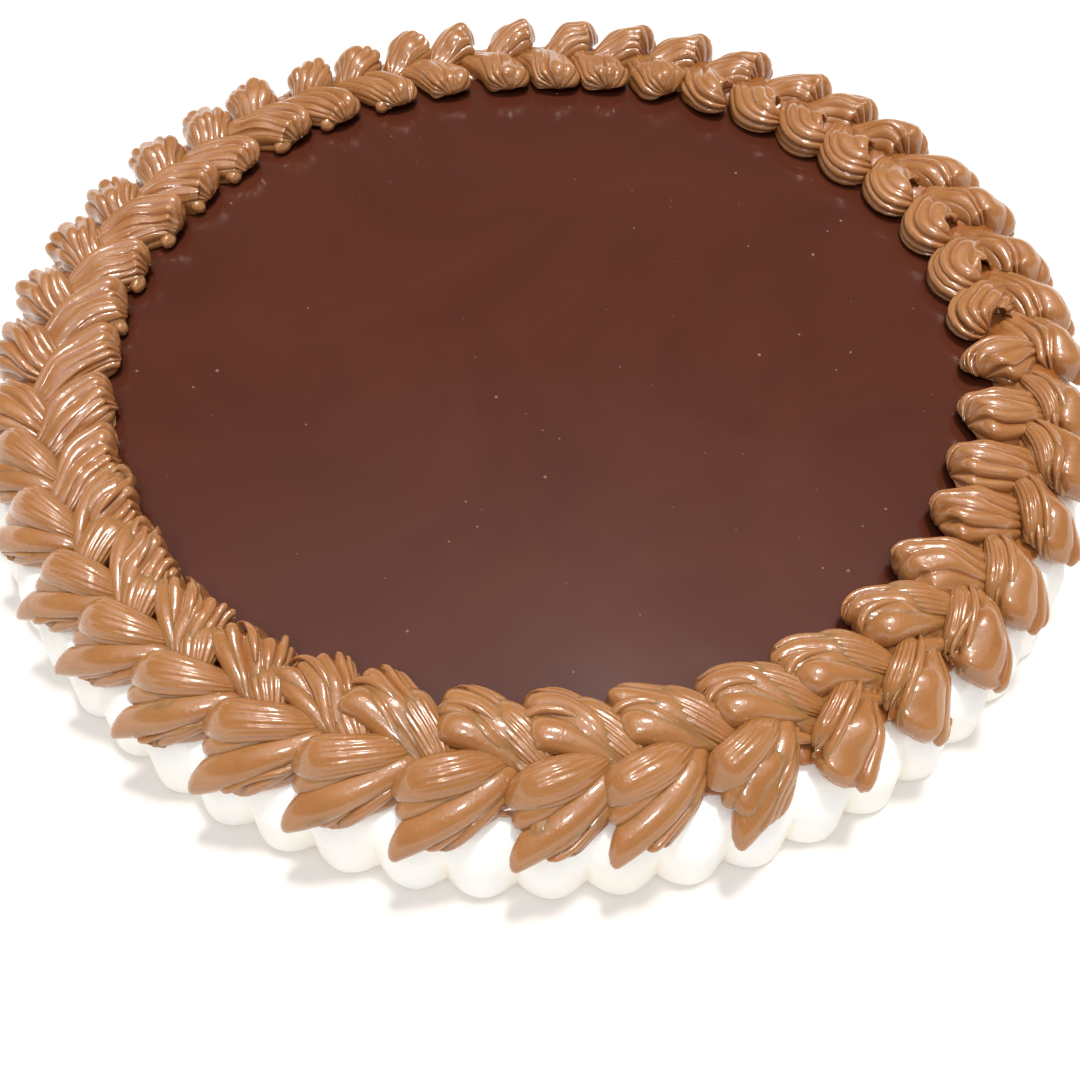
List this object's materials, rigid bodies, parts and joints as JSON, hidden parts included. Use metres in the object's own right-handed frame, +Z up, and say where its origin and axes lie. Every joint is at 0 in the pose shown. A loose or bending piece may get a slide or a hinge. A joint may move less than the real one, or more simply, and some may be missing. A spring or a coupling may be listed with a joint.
{
  "type": "fluted caramel and chocolate cake",
  "caption": "Low round cake in a pale fluted case, with a flat glossy chocolate glaze and a thick braided border of piped caramel.",
  "frame": {"origin": "centre of the flat bottom of the fluted case, at the level that it stands on", "axes": "+Z up through the middle of the cake, -Y towards the side that the picture looks at, +X to its right"},
  "size_m": [0.2798, 0.28, 0.0305],
  "materials": {
    "case": "matte pale cream, finely crumbed",
    "chocolate": "smooth glossy dark chocolate glaze with a few small bubbles",
    "caramel": "wet glossy milk caramel, piped in ridges"
  },
  "bodies": {
    "root": {"fluted_case": "case", "chocolate_glaze": "chocolate", "caramel_braid": "caramel"}
  },
  "joints": []
}
